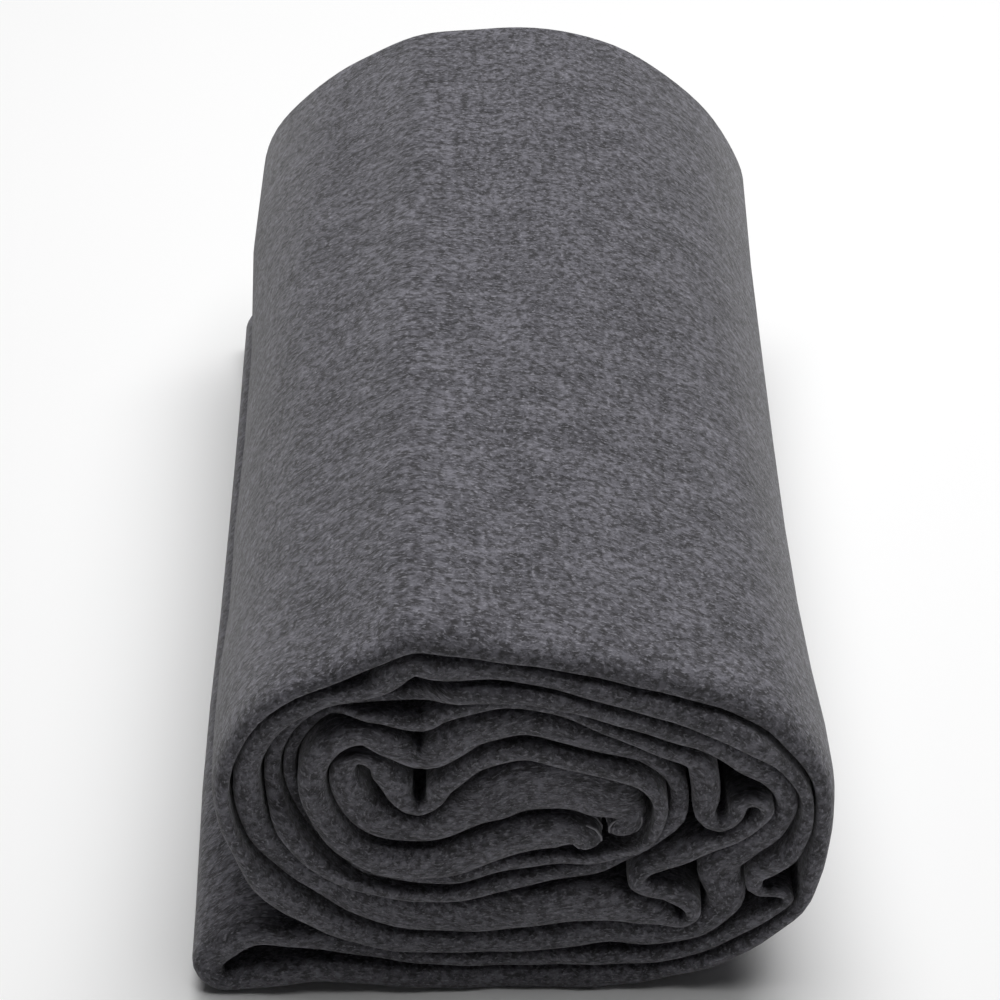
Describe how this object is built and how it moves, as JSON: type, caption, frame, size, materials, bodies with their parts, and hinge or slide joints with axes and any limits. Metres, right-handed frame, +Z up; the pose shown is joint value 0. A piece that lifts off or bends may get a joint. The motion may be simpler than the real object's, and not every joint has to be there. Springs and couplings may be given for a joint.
{
  "type": "rolled wool blanket",
  "caption": "Felted wool blanket, folded lengthwise and rolled up, with its wound folds open at the end and a loose flap under one side.",
  "frame": {"origin": "middle of the roll's footprint, on the surface it rests on", "axes": "+Z up, +Y along the roll away from the end that shows its folds, -X towards the loose flap"},
  "size_m": [0.241, 0.3905, 0.1946],
  "materials": {
    "blanket": "matte, felted heather wool"
  },
  "bodies": {
    "root": {"blanket": "blanket"}
  },
  "joints": []
}
